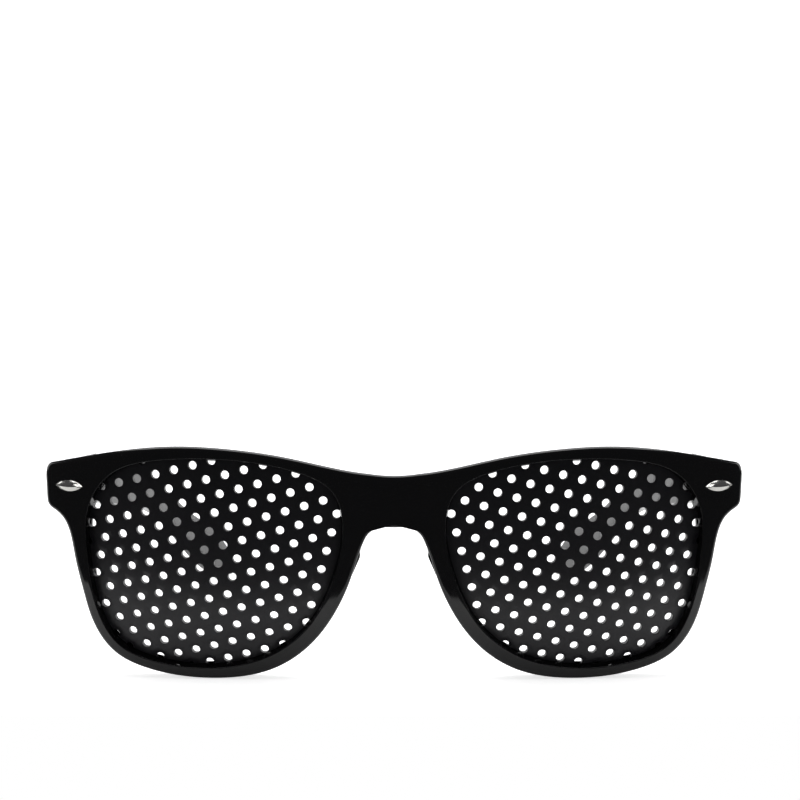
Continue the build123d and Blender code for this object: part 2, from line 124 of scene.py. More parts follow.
outer_side = lens_x + rim_reach*side_shares[1][0]
shield_x = outer_side - shield_inset
shield_y = lens_radius - sqrt(face_radius**2 - (shield_x - dome_x)**2 - shield_level**2)
tilt = radians(front_tilt)
butt_level = (shield_y + endpiece_depth)*cos(tilt) - shield_level*sin(tilt)
hinge_y = butt_level + hinge_radius + hinge_gap
hinge_z = (shield_y + endpiece_depth)*sin(tilt) + shield_level*cos(tilt)
temple_outer = outer_side - temple_inset
temple_inner = temple_outer - temple_thickness
hinge_x = temple_inner - hinge_radius - hinge_gap
print("hinge in mm:", [round(v/mm, 2) for v in (hinge_x, hinge_y, hinge_z)])

# %% [markdown]
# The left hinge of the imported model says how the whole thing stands: its axis gives the lean of
# the temples, and its place ties the drawing to the frame. So two matrices follow from it: one for
# what is drawn on the temples' axes, and one for what is drawn on the upright front.

# %% From the drawing to the frame
left_joint = [j for j in frame["joints"] if j["child"] == "temple_left"][0]
lean = atan2(left_joint["axis"][1], left_joint["axis"][2])
hinge_spot = Vector(left_joint["pos_m"])
temples_to_frame = (Matrix.Translation(hinge_spot) @ Matrix.Rotation(-lean, 4, "X")
                    @ Matrix.Translation(Vector((-hinge_x, -hinge_y, -hinge_z))))
front_to_frame = temples_to_frame @ Matrix.Rotation(tilt, 4, "X")
print("temples lean by degrees:", round(degrees(lean), 2),
      "hinge off by mm:", round((hinge_spot.x - hinge_x)/mm, 3))

# %% [markdown]
# The outlines are smooth lines through a few measured points. The function below bends evenly
# through them, as a draughtsman's spline does, and returns as many points as it is asked for.
# Small corners are arcs of a circle that leave the last line in its own direction.

# %% Smooth lines and corner arcs
def smooth_line(points, count, start=None, end=None, closed=False):
    """Points along a line through points; start and end are its directions there."""
    p = np.array([tuple(q) for q in points], float)
    if closed:
        p = np.vstack([p, p[:1]])
    h = np.linalg.norm(np.diff(p, axis=0), axis=1)
    n = len(p)
    a = np.zeros((n, n))
    b = np.zeros(p.shape)
    for i in range(1, n - 1):
        a[i, i - 1:i + 2] = h[i], 2*(h[i - 1] + h[i]), h[i - 1]
        b[i] = 3*(h[i]*(p[i] - p[i - 1])/h[i - 1] + h[i - 1]*(p[i + 1] - p[i])/h[i])
    if closed:
        a[0, 0], a[0, 1], a[0, n - 2] = 2*(h[-1] + h[0]), h[-1], h[0]
        b[0] = 3*(h[0]*(p[0] - p[n - 2])/h[-1] + h[-1]*(p[1] - p[0])/h[0])
        a[n - 1, 0], a[n - 1, n - 1] = 1, -1
    else:
        a[0, 0] = a[n - 1, n - 1] = 1
        b[0] = np.array(start)/np.linalg.norm(start)
        b[n - 1] = np.array(end)/np.linalg.norm(end)
    m = np.linalg.solve(a, b)
    knots = np.concatenate([[0], np.cumsum(h)])
    line = []
    for s in np.linspace(0, knots[-1], count + 1):
        i = min(int(np.searchsorted(knots, s, side="right")) - 1, n - 2)
        t = (s - knots[i])/h[i]
        line.append((1 + 2*t)*(1 - t)**2*p[i] + t*(1 - t)**2*h[i]*m[i]
                    + t*t*(3 - 2*t)*p[i + 1] + t*t*(t - 1)*h[i]*m[i + 1])
    return line


def corner_arc(start, end, direction, count):
    """Points on the arc from start to end that sets off in a direction, and its last direction."""
    start, end = np.array(start, float), np.array(end, float)
    d = np.array(direction, float)/np.linalg.norm(direction)
    chord = end - start
    side = np.array((-d[1], d[0]))
    radius = chord @ chord/(2*(chord @ side))
    centre = start + side*radius
    turn = 2*atan2(chord @ side, chord @ d)
    arc = []
    for k in range(count + 1):
        angle = turn*k/count
        arc.append(centre - side*radius*cos(angle) + d*radius*sin(angle))
    return arc, d*cos(turn) + side*sin(turn)


quarter_circle = smooth_line([(1, 0), (cos(pi/4), sin(pi/4)), (0, 1)], 8, (0, 1), (-1, 0))
print("a quarter circle through three points is off by",
      round(max(abs(hypot(*p) - 1) for p in quarter_circle), 4), "of its radius")

# %% [markdown]
# Half of the front's outline is drawn, from the top of the bridge round to the nose arch. Its long
# runs are smooth lines, and small arcs join them where the moulding turns a corner. The last points
# go up the middle plane. The lens opening is one closed smooth line.

# %% The front's outline and the lens opening
top_steps, corner_steps, side_steps, foot_steps = 64, 8, 8, 7
rim_steps, arch_steps, middle_steps, opening_steps = 110, 6, 12, 720
top_way, side_way, nose_way = (1, -0.22), (-0.12, -1), (-0.47, 1)   # directions at the runs' ends
arch_corner_in = 0.36      # share of the half width that the nose arch's corner takes
arch_corner_drop = 0.03    # and how far it starts below the arch, as a share of the bridge


def rim_point(share):
    """An outline point from its shares of the half width and half height."""
    return np.array((lens_x + share[0]*rim_reach, share[1]*rim_rise))


def front_outline():
    """Half of the outline as (x, z) points, from the bridge's top round to the arch and back."""
    top = smooth_line([(0, bridge_top)] + [rim_point(s) for s in top_shares],
                      top_steps, (1, 0), top_way)
    corner, way = corner_arc(top[-1], rim_point(side_shares[0]), top_way, corner_steps)
    side = smooth_line([rim_point(s) for s in side_shares], side_steps, way, side_way)
    foot, way = corner_arc(side[-1], rim_point(rim_shares[0]), side_way, foot_steps)
    rim = smooth_line([rim_point(s) for s in rim_shares], rim_steps, way, nose_way)
    arch_height = bridge_top - bridge_height
    arch_foot = (rim[-1][0]*(1 - arch_corner_in), arch_height - arch_corner_drop*bridge_height)
    arch_corner, way = corner_arc(rim[-1], arch_foot, nose_way, corner_steps)
    arch = smooth_line([arch_corner[-1], (0, arch_height)], arch_steps, way, (-1, 0))
    middle = [np.array((0, z)) for z in np.linspace(arch_height, bridge_top, middle_steps + 1)]
    line = []
    for part in (top, corner, side, foot, rim, arch_corner, arch, middle):
        line += part[:-1]
    return line


outline = front_outline()
opening = np.array(smooth_line([(lens_x + sx*half_opening, sz*half_height)
                                for sx, sz in opening_shares], opening_steps, closed=True)[:-1])
opening_angles = np.unwrap(np.arctan2(opening[:, 1], opening[:, 0] - lens_x))
print("outline points:", len(outline), "opening points:", len(opening))

# %% [markdown]
# Every point of the outline is paired with the point of the opening that lies in the same direction
# from the lens centre, and rings of points run between the two. So the rim is one strip of
# four-sided faces that goes round the lens. A curve with a bevel could do the same for an even rim,
# but this one changes its width all the way.

# %% Pair the outline with the opening
def matching_opening_point(point):
    """The opening's point in the direction of an outline point, from the lens centre."""
    angle = atan2(point[1], point[0] - lens_x)
    low = opening_angles.min()
    angle = low + (angle - low) % (2*pi)
    order = np.argsort(opening_angles)
    x = np.interp(angle, opening_angles[order], opening[order, 0], period=2*pi)
    z = np.interp(angle, opening_angles[order], opening[order, 1], period=2*pi)
    return np.array((x, z))


def grown(point, grow):
    """An opening point moved outward with the whole opening."""
    return np.array((lens_x + (point[0] - lens_x)*(1 + grow/half_opening),
                     point[1]*(1 + grow/half_height)))


inner = [matching_opening_point(p) for p in outline]
print("narrowest rim in mm:", round(min(hypot(*(a - b)) for a, b in zip(inner, outline))/mm, 2))

# %% [markdown]
# A grid primitive has rows of faces. So one is added with as many rows as the piece has rings or
# sections, and its points are put on them. Points that meet are merged, which closes the rings.

# %% A grid put on rows of points
def deselect():
    """Object mode with nothing selected."""
    if bpy.context.object and bpy.context.object.mode != "OBJECT":
        bpy.ops.object.mode_set(mode="OBJECT")
    bpy.ops.object.select_all(action="DESELECT")


def named(name):
    """The object just added, with its name."""
    piece = bpy.context.object
    piece.name = piece.data.name = name
    return piece


weld = 0.002*mm            # points nearer than this are merged


def grid_through(name, rows):
    """A grid primitive put on rows of points; points that meet are merged."""
    deselect()
    bpy.ops.mesh.primitive_grid_add(x_subdivisions=len(rows[0]) - 1, y_subdivisions=len(rows) - 1,
                                    size=lens_width)
    piece = named(name)
    piece.data.vertices.foreach_set("co", np.array(rows, float).reshape(-1))
    piece.data.update()
    bpy.ops.object.mode_set(mode="EDIT")
    bpy.ops.mesh.select_all(action="SELECT")
    bpy.ops.mesh.remove_doubles(threshold=weld)
    bpy.ops.object.mode_set(mode="OBJECT")
    piece.matrix_world = Matrix.Identity(4)
    return piece


print("points merge within mm:", weld/mm)

# %% [markdown]
# The rings follow the rim's section: the rounded outer edge of the face, the face, the rounded lip
# at the lens, the groove that holds the lens, the back, and the back's rounded edge. Each layer is
# bent to a dome of its own later, so for now Y holds the layer's number in place of a depth.

# %% Rings of the rim, flat at first
face, back, groove_front, groove_back = 0.0, 1.0, 2.0, 3.0     # layers, in place of depths
edge_radius, back_edge_radius, lip_radius = 0.7*mm, 0.5*mm, 0.3*mm


def inset_outline(distance):
    """The outline moved into the plastic by a distance; points on the middle plane stay on it."""
    points = np.array(outline)
    turned = np.roll(points, -1, axis=0) - np.roll(points, 1, axis=0)
    normal = np.stack((turned[:, 1], -turned[:, 0]), axis=1)
    normal /= np.linalg.norm(normal, axis=1)[:, None]
    moved = points + normal*distance
    first = len(outline) - middle_steps
    moved[0] = (0, bridge_top - distance)
    moved[first] = (0, bridge_top - bridge_height + distance)
    moved[first:, 0] = 0
    moved[first:, 1] = np.linspace(moved[first, 1], moved[0, 1], middle_steps + 1)[:-1]
    return moved


def ring(layer, points, extra=0.0):
    """One closed ring of points in a layer, with an extra depth behind the layer's surface."""
    row = [(x, layer + extra, z) for x, z in points]
    return row + row[:1]


def opening_ring(layer, grow, extra=0.0):
    """A ring along the opening, grown outward."""
    return ring(layer, [grown(p, grow) for p in inner], extra)


def between(layer, outside, inside, shares):
    """Rings between two sets of points."""
    a, b = np.array(outside), np.array(inside)
    return [ring(layer, a + (b - a)*share) for share in shares]


print("points in a ring:", len(ring(face, outline)))

# %% [markdown]
# The rings are stacked in their order, from the outer edge of the face to the lens, through the
# groove and over the back to the outer edge again. The rounded edges are quarter circles.

# %% Stack the rings
quarter = [radians(a) for a in (0, 22.5, 45, 67.5, 90)]
rings = []
for a in reversed(quarter):
    rings.append(ring(face, inset_outline(edge_radius*(1 - sin(a))), edge_radius*(1 - cos(a))))
lip_points = [grown(p, lip_radius) for p in inner]
rings += between(face, inset_outline(edge_radius), lip_points, (0.2, 0.4, 0.6, 0.8, 1))
for a in quarter[1:]:
    rings.append(opening_ring(face, lip_radius*(1 - sin(a)), lip_radius*(1 - cos(a))))
rings += [opening_ring(groove_front, -opening_flare),
          opening_ring(groove_front, groove_depth - opening_flare + lens_clearance),
          opening_ring(groove_back, groove_depth - opening_flare + lens_clearance),
          opening_ring(groove_back, -opening_flare)]
behind = [grown(p, -opening_flare) for p in inner]
rings += between(back, behind, inset_outline(back_edge_radius), (0, 0.25, 0.5, 0.75))
for a in quarter:
    rings.append(ring(back, inset_outline(back_edge_radius*(1 - sin(a))),
                      -back_edge_radius*(1 - cos(a))))
rings += [rings[0]]
front = grid_through("moulded_front", rings)
print("rim faces:", len(front.data.polygons))

# %% [markdown]
# The front is one moulding. Its face is part of a dome round each lens, and a flat facet lies
# across the bridge between two soft creases. A Bend modifier turns a mesh one way only, so the
# formula of a sphere gives each layer its depth instead.

# %% Depth of the domes
def plan_depth(x, radius):
    """Depth of a layer's surface on the lens centre line: facet, crease, then dome."""
    def dome(at):
        """Depth of the dome alone."""
        return lens_radius - sqrt(radius**2 - (at - dome_x)**2)
    slope = (bridge_flat - dome_x)/sqrt(radius**2 - (bridge_flat - dome_x)**2)
    half = crease_radius*tan(abs(slope)/2)
    if x < bridge_flat - half:
        return dome(bridge_flat)
    if x < bridge_flat + half:
        return dome(bridge_flat) + slope*(x - bridge_flat + half)**2/(4*half)
    return dome(x)


def layer_depth(x, z, radius):
    """Depth of a layer's surface at a point of the drawing."""
    return lens_radius - sqrt((lens_radius - plan_depth(x, radius))**2 - z**2)


layer_radius = [face_radius, back_radius, lens_radius + lens_clearance,
                lens_radius - lens_thickness - lens_clearance]
print("bridge behind the lens crown in mm:", round(layer_depth(0, 0, face_radius)/mm, 2))

# %% [markdown]
# In the photograph the walls behind the outline can't be seen, so they run back level. For that
# they fall, on their way back, against a square to the leaning front: by about seven degrees, and
# by eleven along the top, where the camera looks down on them.

# %% How far the walls fall
wall_fall, top_fall = radians(7.4), radians(11)
top_fade_start, top_fade_height = 11*mm, 6.5*mm


def top_weight(z):
    """One along the top of the front, fading to none at the foot of the end pieces."""
    t = min(max((z - top_fade_start)/top_fade_height, 0), 1)
    return t*t*(3 - 2*t)


def wall_drop(z, depth=rim_depth):
    """How far the outline sinks over a depth."""
    return depth*(tan(wall_fall) + (tan(top_fall) - tan(wall_fall))*top_weight(z))


print("walls fall by mm, side and top:",
      [round(wall_drop(z)/mm, 2) for z in (0, bridge_top)])

# %% [markdown]
# The half is still flat here, so it is cut where the creases will run. Then every point goes to the
# depth of its own layer, and sinks as far as its wall falls.

# %% Bend the layers to their domes
def pick(piece):
    """Object mode with only this piece selected."""
    deselect()
    piece.select_set(True)
    bpy.context.view_layer.objects.active = piece


def edit(piece):
    """Only this piece is selected and in edit mode; its faces come back as a bmesh."""
    pick(piece)
    bpy.ops.object.mode_set(mode="EDIT")
    bpy.ops.mesh.select_mode(type="FACE")
    bpy.ops.mesh.select_all(action="DESELECT")
    return bmesh.from_edit_mesh(piece.data)


def cut(piece, spot, normal, clear=False):
    """Bisects the piece by a plane; clear drops the normal's side and fills the cut."""
    edit(piece)
    bpy.ops.mesh.select_all(action="SELECT")
    bpy.ops.mesh.bisect(plane_co=spot, plane_no=normal, use_fill=clear, clear_outer=clear,
                        threshold=weld/4)
    bpy.ops.object.mode_set(mode="OBJECT")


crease_cut = 0.62*mm       # the crease is cut at its middle and this far to each side
bm = edit(front)
middle_faces = [f for f in bm.faces if all(abs(v.co.x) < weld/2 for v in f.verts)]
print("faces to drop on the middle plane:", len(middle_faces))
for f in middle_faces:
    f.select_set(True)
bmesh.update_edit_mesh(front.data)
bpy.ops.mesh.delete(type="FACE")
for shift in (-crease_cut, 0, crease_cut):
    cut(front, (bridge_flat + shift, 0, 0), (1, 0, 0))
for v in front.data.vertices:
    layer = round(v.co.y)
    extra = v.co.y - layer
    flat_z = v.co.z
    v.co.y = layer_depth(v.co.x, flat_z, layer_radius[layer]) + extra
    if layer == 1:
        v.co.z -= wall_drop(flat_z)
    elif layer > 1:
        v.co.z -= (v.co.y - layer_depth(v.co.x, flat_z, lens_radius))*tan(wall_fall)
print("half of the front, faces:", len(front.data.polygons))

# %% [markdown]
# Behind the rim's outer top corner stands the end piece that carries the hinge. It has the front's
# outline, so it starts as a filled circle whose points are put on that outline, and is extruded
# back. Planes cut its floor, its inner face and the butt that the temple meets, and the lens
# opening is cut out of it. A second block with a sloped back braces it from the inner side.

# %% Blocks and Booleans
hair, overrun, block_start = 0.01*mm, 1*mm, -5*mm


def finish_outward():
    """Turns all faces of the piece in edit mode outward, and leaves edit mode."""
    bpy.ops.mesh.select_all(action="SELECT")
    bpy.ops.mesh.normals_make_consistent(inside=False)
    bpy.ops.object.mode_set(mode="OBJECT")


def prism_through(name, points, near, far, fall=0.0):
    """A block with a given outline that runs back from near to far and falls on the way."""
    deselect()
    bpy.ops.mesh.primitive_circle_add(vertices=len(points), radius=lens_width, fill_type="NGON")
    piece = named(name)
    for v, (x, z) in zip(piece.data.vertices, points):
        v.co = (x, near, z)
    edit(piece)
    bpy.ops.mesh.select_all(action="SELECT")
    bpy.ops.mesh.extrude_region_move(
        TRANSFORM_OT_translate={"value": (0, far - near, -(far - near)*fall)})
    finish_outward()
    return piece


def apply_modifiers(piece):
    """Applies all the modifiers of a piece."""
    pick(piece)
    for modifier in list(piece.modifiers):
        bpy.ops.object.modifier_apply(modifier=modifier.name)


def combine(piece, other, operation, keep=False):
    """Boolean of two closed pieces; the other piece is used up unless it is kept."""
    modifier = piece.modifiers.new("combine", "BOOLEAN")
    modifier.operation = operation
    modifier.object = other
    modifier.solver = "EXACT"
    apply_modifiers(piece)
    if not keep:
        bpy.data.objects.remove(other)


opening_block = prism_through("opening_block",
                              [grown(p, -opening_flare + hair) for p in opening[::2]],
                              block_start, butt_level + rim_rise)
print("opening block faces:", len(opening_block.data.polygons))

# %% [markdown]
# Both blocks are made in one way and differ in the planes that cut them. Their front ends lie
# halfway into the rim, so that they overlap it when they are joined. A fault is left: the outer
# part of the second block runs on behind the butt, out of sight from ahead. One more cut plane, at
# the end piece's inner face, would end it there.

# %% End piece
endpiece_inner = lens_x + half_opening + endpiece_inset
rim_middle = layer_depth(endpiece_inner, shield_level, (face_radius + back_radius)/2)
butt_normal = Vector((0, cos(tilt), -sin(tilt)))
butt_spot = butt_normal*butt_level
block_fall = radians(6)    # the block's top, on its way back


def behind_rim(name, cuts):
    """A block with the front's outline, a hair inside it, that runs back behind the rim."""
    points = [(x, z - wall_drop(z, rim_depth/2)) for x, z in inset_outline(hair)]
    piece = prism_through(name, points, rim_middle, butt_level + rim_rise, tan(block_fall))
    for spot, normal in cuts:
        cut(piece, spot, normal, clear=True)
    for v in piece.data.vertices:
        if v.co.y < rim_middle + hair:
            v.co.y = layer_depth(v.co.x, v.co.z, (face_radius + back_radius)/2)
    combine(piece, opening_block, "DIFFERENCE", keep=True)
    return piece


floor_cut = ((0, 0, shield_level - endpiece_drop), (0, 0, -1))
end_block = behind_rim("end_block", [floor_cut, ((endpiece_inner, 0, 0), (-1, 0, 0)),
                                     (butt_spot, butt_normal)])
root_block = behind_rim("root_block",
                        [floor_cut, ((endpiece_inner - endpiece_root, 0, 0), (-1, 0, 0)),
                         ((endpiece_inner, rim_middle + endpiece_root, 0), (-1, 1, 0))])
bpy.data.objects.remove(opening_block)
print("end block faces:", len(end_block.data.polygons), len(root_block.data.polygons))

# %% [markdown]
# A nose pad is a rounded bar on the back of the rim's nose side. A cube is scaled to the bar, and
# the edges that run back are bevelled until the bar's ends are round. Then the edge that touches
# the nose is bevelled too.

# %% Nose pad
pad_length, pad_width, pad_reach = 12.0*mm, 3.0*mm, 3.3*mm
pad_proud, pad_edge = 0.8*mm, 1.1*mm
pad_end_round = 0.499      # share of the pad's width, just short of half
pad_top, pad_bottom = rim_point((-1.026, 0.10)), rim_point((-0.864, -0.34))
run = (pad_bottom - pad_top)/np.linalg.norm(pad_bottom - pad_top)
inward = np.array((-run[1], run[0]))*(1 if -run[1] > 0 else -1)
pad_middle = (pad_top + pad_bottom)/2 + inward*(pad_width/2 - pad_proud)
pad_near = layer_depth(*pad_middle, (face_radius + back_radius)/2)
pad_far = layer_depth(*pad_middle, back_radius) + pad_reach


def box_piece(name, low, high):
    """A block between two corners."""
    deselect()
    bpy.ops.mesh.primitive_cube_add(size=1)
    piece = named(name)
    for v in piece.data.vertices:
        v.co = [a + (b - a)*(c + 0.5) for a, b, c in zip(low, high, v.co)]
    return piece


def bevel_edges(piece, test, width, segments):
    """Bevels the edges that pass a test."""
    bm = edit(piece)
    bpy.ops.mesh.select_mode(type="EDGE")
    bm.edges.ensure_lookup_table()
    for e in bm.edges:
        e.select_set(bool(test(e)))
    bmesh.update_edit_mesh(piece.data)
    bpy.ops.mesh.bevel(offset=width, segments=segments, profile=0.5, clamp_overlap=True)
    bpy.ops.object.mode_set(mode="OBJECT")


pad_corner = np.array((pad_length, pad_far - pad_near, pad_width))/2
pad = box_piece("pad_bar", -pad_corner, pad_corner)
bevel_edges(pad, lambda e: abs(e.verts[0].co.y - e.verts[1].co.y) > mm, pad_width*pad_end_round, 7)
bevel_edges(pad, lambda e: all(v.co.y > mm/2 for v in e.verts) and e.is_manifold
            and any(abs(f.normal.y) > 0.9 for f in e.link_faces)
            and any(abs(f.normal.y) < 0.1 for f in e.link_faces), pad_edge, 4)
pad_turn = Matrix.Rotation(-atan2(run[1], run[0]), 4, "Y")
pad.data.transform(Matrix.Translation((pad_middle[0], (pad_near + pad_far)/2, pad_middle[1]))
                   @ pad_turn)
print("pad faces:", len(pad.data.polygons))

# %% [markdown]
# A pocket for the hinge leaf is cut from the end block's butt face. The half front is mirrored, the
# blocks and bars are mirrored as well, and Boolean unions join them to it.

# %% Put the front together
def mirrored(piece, merge=False):
    """Adds the other half to a piece, and merges the two on the middle plane if asked."""
    modifier = piece.modifiers.new("other side", "MIRROR")
    modifier.use_mirror_merge = merge
    modifier.merge_threshold = 2*weld
    apply_modifiers(piece)
    edit(piece)
    finish_outward()


leaf_low, leaf_high = hinge_z - leaf_height/2, hinge_z + leaf_height/2
front_pocket = box_piece("front_pocket",
                         (endpiece_inner - overrun, butt_level - leaf_thickness - seat_gap,
                          leaf_low - seat_gap),
                         (hinge_x + front_leaf_length + seat_gap, butt_level + overrun,
                          leaf_high + seat_gap))
front_pocket.data.transform(Matrix.Rotation(-tilt, 4, "X"))
combine(end_block, front_pocket, "DIFFERENCE")
mirrored(front, merge=True)
for other in (end_block, root_block, pad):
    mirrored(other)
    combine(front, other, "UNION")
print("front faces:", len(front.data.polygons))


def settle(piece, matrix, angle, body, *replaced):
    """The finished piece goes to its place in the frame, is shaded smooth and rides on a body."""
    piece.data.transform(matrix)
    piece.data.update()
    pick(piece)
    bpy.ops.object.shade_smooth_by_angle(angle=radians(angle))
    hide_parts(*replaced)
    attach(piece, body)


smooth_moulding, smooth_lens, smooth_metal = 35, 40, 30    # degrees; sharper edges stay crisp
settle(front, front_to_frame, smooth_moulding, "front", "front_frame")

# %% [markdown]
# Each lens is a domed black disc pierced by a lattice of round holes, drilled straight back. 146
# Boolean cuts would be slow and leave ragged faces. The cells of the lattice are all alike, so one
# six-sided cell with its hole is modelled flat and copied.

# %% One cell of the lattice
hole_radius, hole_pitch, hole_angle = 0.9*mm, 4.02*mm, 14.3
hole_edge = 0.12*mm        # the hole's broken front edge
cell_points = 12


def cell_border(index):
    """A point of the six-sided cell: corners and middles of the sides in turn."""
    angle = radians(60*(index//2) - hole_angle)
    corner = np.array((cos(angle + pi/6), sin(angle + pi/6)))*hole_pitch/sqrt(3)
    before = np.array((cos(angle - pi/6), sin(angle - pi/6)))*hole_pitch/sqrt(3)
    return corner if index % 2 else (corner + before)/2


def circle_point(index, radius):
    """A point of the hole in the same direction as a border point."""
    angle = radians(30*index - hole_angle)
    return np.array((cos(angle), sin(angle)))*radius


def cell_ring(place, y):
    """A closed ring of points at one depth."""
    return [(p[0], y, p[1]) for p in [place(k % cell_points) for k in range(cell_points + 1)]]


hole_cell = grid_through("hole_cell", [
    cell_ring(cell_border, 0), cell_ring(lambda k: circle_point(k, hole_radius + hole_edge), 0),
    cell_ring(lambda k: circle_point(k, hole_radius), hole_edge),
    cell_ring(lambda k: circle_point(k, hole_radius), lens_thickness),
    cell_ring(cell_border, lens_thickness)])
plain_cell = grid_through("plain_cell", [cell_ring(cell_border, 0),
                                         cell_ring(lambda k: circle_point(k, hole_radius), 0)])
edit(plain_cell)
bpy.ops.mesh.select_mode(type="EDGE")
bpy.ops.mesh.select_all(action="DESELECT")
bm = bmesh.from_edit_mesh(plain_cell.data)
for e in bm.edges:
    e.select_set(e.is_boundary and all(hypot(v.co.x, v.co.z) < hole_radius*1.01 for v in e.verts))
bmesh.update_edit_mesh(plain_cell.data)
bpy.ops.mesh.edge_face_add()
bpy.ops.object.mode_set(mode="OBJECT")
print("faces in a cell with a hole:", len(hole_cell.data.polygons))

# %% [markdown]
# A cell keeps its hole where enough of the hole reaches past the edge of the opening. That is
# measured against the opening's narrow edge. Plain cells fill up the rest, to beyond the lens edge.

# %% Where the holes are
hole_show = 0.15*mm        # a hole that shows less than this is left out
plain_reach = 1.5*hole_pitch
pattern_range = range(-14, 15)
pattern_shift_x, pattern_shift_z = -0.11*mm, -3.37*mm
lens_grow = groove_depth - opening_flare
lens_edge = np.array([grown(p, lens_grow) for p in opening])
narrow_edge = np.array([grown(p, -opening_flare) for p in opening])


def edge_distance(x, z):
    """Distance from the opening's narrow edge, positive inside it."""
    a, b = narrow_edge, np.roll(narrow_edge, -1, axis=0)
    side = b - a
    t = np.clip(((np.array((x, z)) - a)*side).sum(1)/(side**2).sum(1), 0, 1)
    gap = np.linalg.norm(np.array((x, z)) - a - side*t[:, None], axis=1).min()
    crossing = ((a[:, 1] > z) != (b[:, 1] > z)) & (
        x < a[:, 0] + (z - a[:, 1])*side[:, 0]/np.where(side[:, 1] == 0, 1, side[:, 1]))
    return gap if crossing.sum() % 2 else -gap


hole_spots, plain_spots = [], []
for i in pattern_range:
    for j in pattern_range:
        x = lens_x - pattern_shift_x - hole_pitch*(i*cos(radians(hole_angle))
                                                   + j*cos(radians(hole_angle - 60)))
        z = pattern_shift_z + hole_pitch*(i*sin(radians(hole_angle))
                                          + j*sin(radians(hole_angle - 60)))
        gap = edge_distance(x, z)
        if gap > hole_show - hole_radius:
            hole_spots.append((x, z))
        elif gap > -plain_reach:
            plain_spots.append((x, z))
print("holes in a lens:", len(hole_spots))

# %% [markdown]
# Each copy has its own mesh, moved to its spot. Joined and merged, the cells make a front and a
# back skin that are tied at the holes. Bridging the two open borders closes the sheet, and a block
# with the lens outline trims it.

# %% Copy the cells over the lens and close the sheet
def copies(piece, spots, depths):
    """Copies of a piece, each with its own mesh moved to its spot."""
    made = []
    for x, z in spots:
        for y in depths:
            copy = bpy.data.objects.new(piece.name, piece.data.copy())
            bpy.context.collection.objects.link(copy)
            copy.data.transform(Matrix.Translation((x, y, z)))
            made.append(copy)
    bpy.data.objects.remove(piece)
    return made


def joined(name, parts, threshold):
    """One piece from several, with the points that meet merged."""
    deselect()
    for part in parts:
        part.select_set(True)
    bpy.context.view_layer.objects.active = parts[0]
    bpy.ops.object.join()
    piece = named(name)
    edit(piece)
    bpy.ops.mesh.select_all(action="SELECT")
    bpy.ops.mesh.remove_doubles(threshold=threshold)
    bpy.ops.object.mode_set(mode="OBJECT")
    return piece


def select_open_edges(piece):
    """Selects the edges with a face on one side only, in edit mode."""
    edit(piece)
    bpy.ops.mesh.select_mode(type="EDGE")
    bpy.ops.mesh.select_all(action="DESELECT")
    bpy.ops.mesh.select_non_manifold(extend=False, use_wire=False, use_boundary=True,
                                     use_multi_face=False, use_non_contiguous=False,
                                     use_verts=False)


cells = copies(hole_cell, hole_spots, [0]) + copies(plain_cell, plain_spots, [0, lens_thickness])
sheet = joined("sheet", cells, 0.01*mm)
select_open_edges(sheet)
bpy.ops.mesh.bridge_edge_loops()
finish_outward()
edge_block = prism_through("edge_block", lens_edge[::2], -overrun, lens_thickness + overrun)
combine(sheet, edge_block, "INTERSECT")
print("lens faces:", len(sheet.data.polygons))

# %% [markdown]
# Every point is moved back on to the sphere of its own depth, so the lens keeps its thickness. The
# holes of the photograph hardly show their walls, so they are drilled level: the deeper a point
# lies, the more it sinks against the leaning front. A mirrored copy is the other lens, and its
# faces are flipped, because mirroring turns them inside out.

# %% Bend the sheet, and mirror it for the other side
hole_fall = radians(9)


def mirrored_copy(piece, name):
    """A copy for the other side, with its faces turned outward again."""
    copy = bpy.data.objects.new(name, piece.data.copy())
    bpy.context.collection.objects.link(copy)
    copy.data.name = name
    copy.data.transform(Matrix.Diagonal((-1, 1, 1, 1)))
    edit(copy)
    bpy.ops.mesh.select_all(action="SELECT")
    bpy.ops.mesh.flip_normals()
    bpy.ops.object.mode_set(mode="OBJECT")
    return copy


lens_left = sheet
lens_left.name = lens_left.data.name = "pierced_lens_left"
for v in lens_left.data.vertices:
    radius, deep = lens_radius - v.co.y, v.co.y
    v.co.y = lens_radius - sqrt(radius**2 - (v.co.x - dome_x)**2 - v.co.z**2)
    v.co.z -= deep*tan(hole_fall)
lens_right = mirrored_copy(lens_left, "pierced_lens_right")
for side, piece in (("left", lens_left), ("right", lens_right)):
    settle(piece, front_to_frame, smooth_lens, "front", "lens_" + side)
print("lens box in mm:", [round(v/mm, 1) for v in lens_left.dimensions])

# %% [markdown]
# A temple is a flat moulded bar with rounded edges. It is straight at the hinge, bows inward to the
# head, bends down behind the ear and widens to a paddle. Seen from the side it lies between a top
# and a bottom line, which are drawn first, from stations along its middle line.

# %% Temple lines
station_shares = [0.0, 0.22, 0.41, 0.55, 0.69, 0.84]
temple_steps, cap_steps = 90, 48
root_top_drop = 1.1*mm     # the root starts flush with the end piece's top
waist_fade, tip_swell = 0.6, 0.4     # shares of the change in height, one station from the waist


def temple_line(share):
    """A point and a direction on the temple's centre line, seen from the side."""
    along, drop = share*temple_length, radians(ear_drop)
    turn = min(max((along - ear_bend_start)/ear_bend_radius, 0), drop)
    y = min(along, ear_bend_start) + ear_bend_radius*sin(turn)
    rest = max(along - ear_bend_start - ear_bend_radius*drop, 0)
    spot = np.array((hinge_y + y + rest*cos(turn),
                     hinge_z - ear_bend_radius*(1 - cos(turn)) - rest*sin(turn)))
    return spot, np.array((cos(turn), -sin(turn)))


